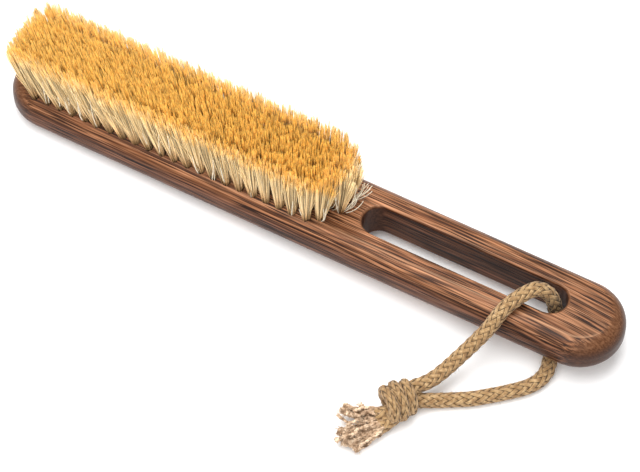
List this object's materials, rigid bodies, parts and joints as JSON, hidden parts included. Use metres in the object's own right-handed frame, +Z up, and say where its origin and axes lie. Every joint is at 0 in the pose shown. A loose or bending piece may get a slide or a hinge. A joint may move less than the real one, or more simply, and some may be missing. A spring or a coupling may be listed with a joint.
{
  "type": "body brush",
  "caption": "Long wooden bath and body brush with rows of natural fibre tufts, a hand slot through the handle and a knotted hanging cord.",
  "frame": {"origin": "on the resting surface, under the middle of the brush without its cord; the brush lies on its back", "axes": "+X along the block towards the handle end, +Y across it, away from the side that the cord loop lies on, +Z up, the way the fibres stand"},
  "size_m": [0.375, 0.1446, 0.0608],
  "materials": {
    "walnut": "oiled dark wood with open grain, satin",
    "fibre": "natural bristle, cream at the root and golden at the tip",
    "steel_wire": "plain drawn wire",
    "cotton_cord": "braided cotton or hemp, matt"
  },
  "bodies": {
    "root": {"brush_block": "walnut", "tufts_01": "fibre", "tufts_02": "fibre", "tufts_03": "fibre", "tufts_04": "fibre", "tufts_05": "fibre", "tufts_06": "fibre", "tufts_07": "fibre", "tufts_08": "fibre", "tufts_09": "fibre", "tufts_10": "fibre", "tufts_11": "fibre", "tufts_12": "fibre", "tufts_13": "fibre", "tufts_14": "fibre", "tufts_15": "fibre", "tufts_16": "fibre", "tufts_17": "fibre", "tufts_18": "fibre", "tufts_19": "fibre", "tufts_20": "fibre", "tufts_21": "fibre", "tufts_22": "fibre", "tufts_23": "fibre", "tufts_24": "fibre", "tufts_25": "fibre", "tuft_staples": "steel_wire", "cord_loop": "cotton_cord", "cord_knot": "cotton_cord", "cord_end_a": "cotton_cord", "cord_end_b": "cotton_cord"}
  },
  "joints": []
}
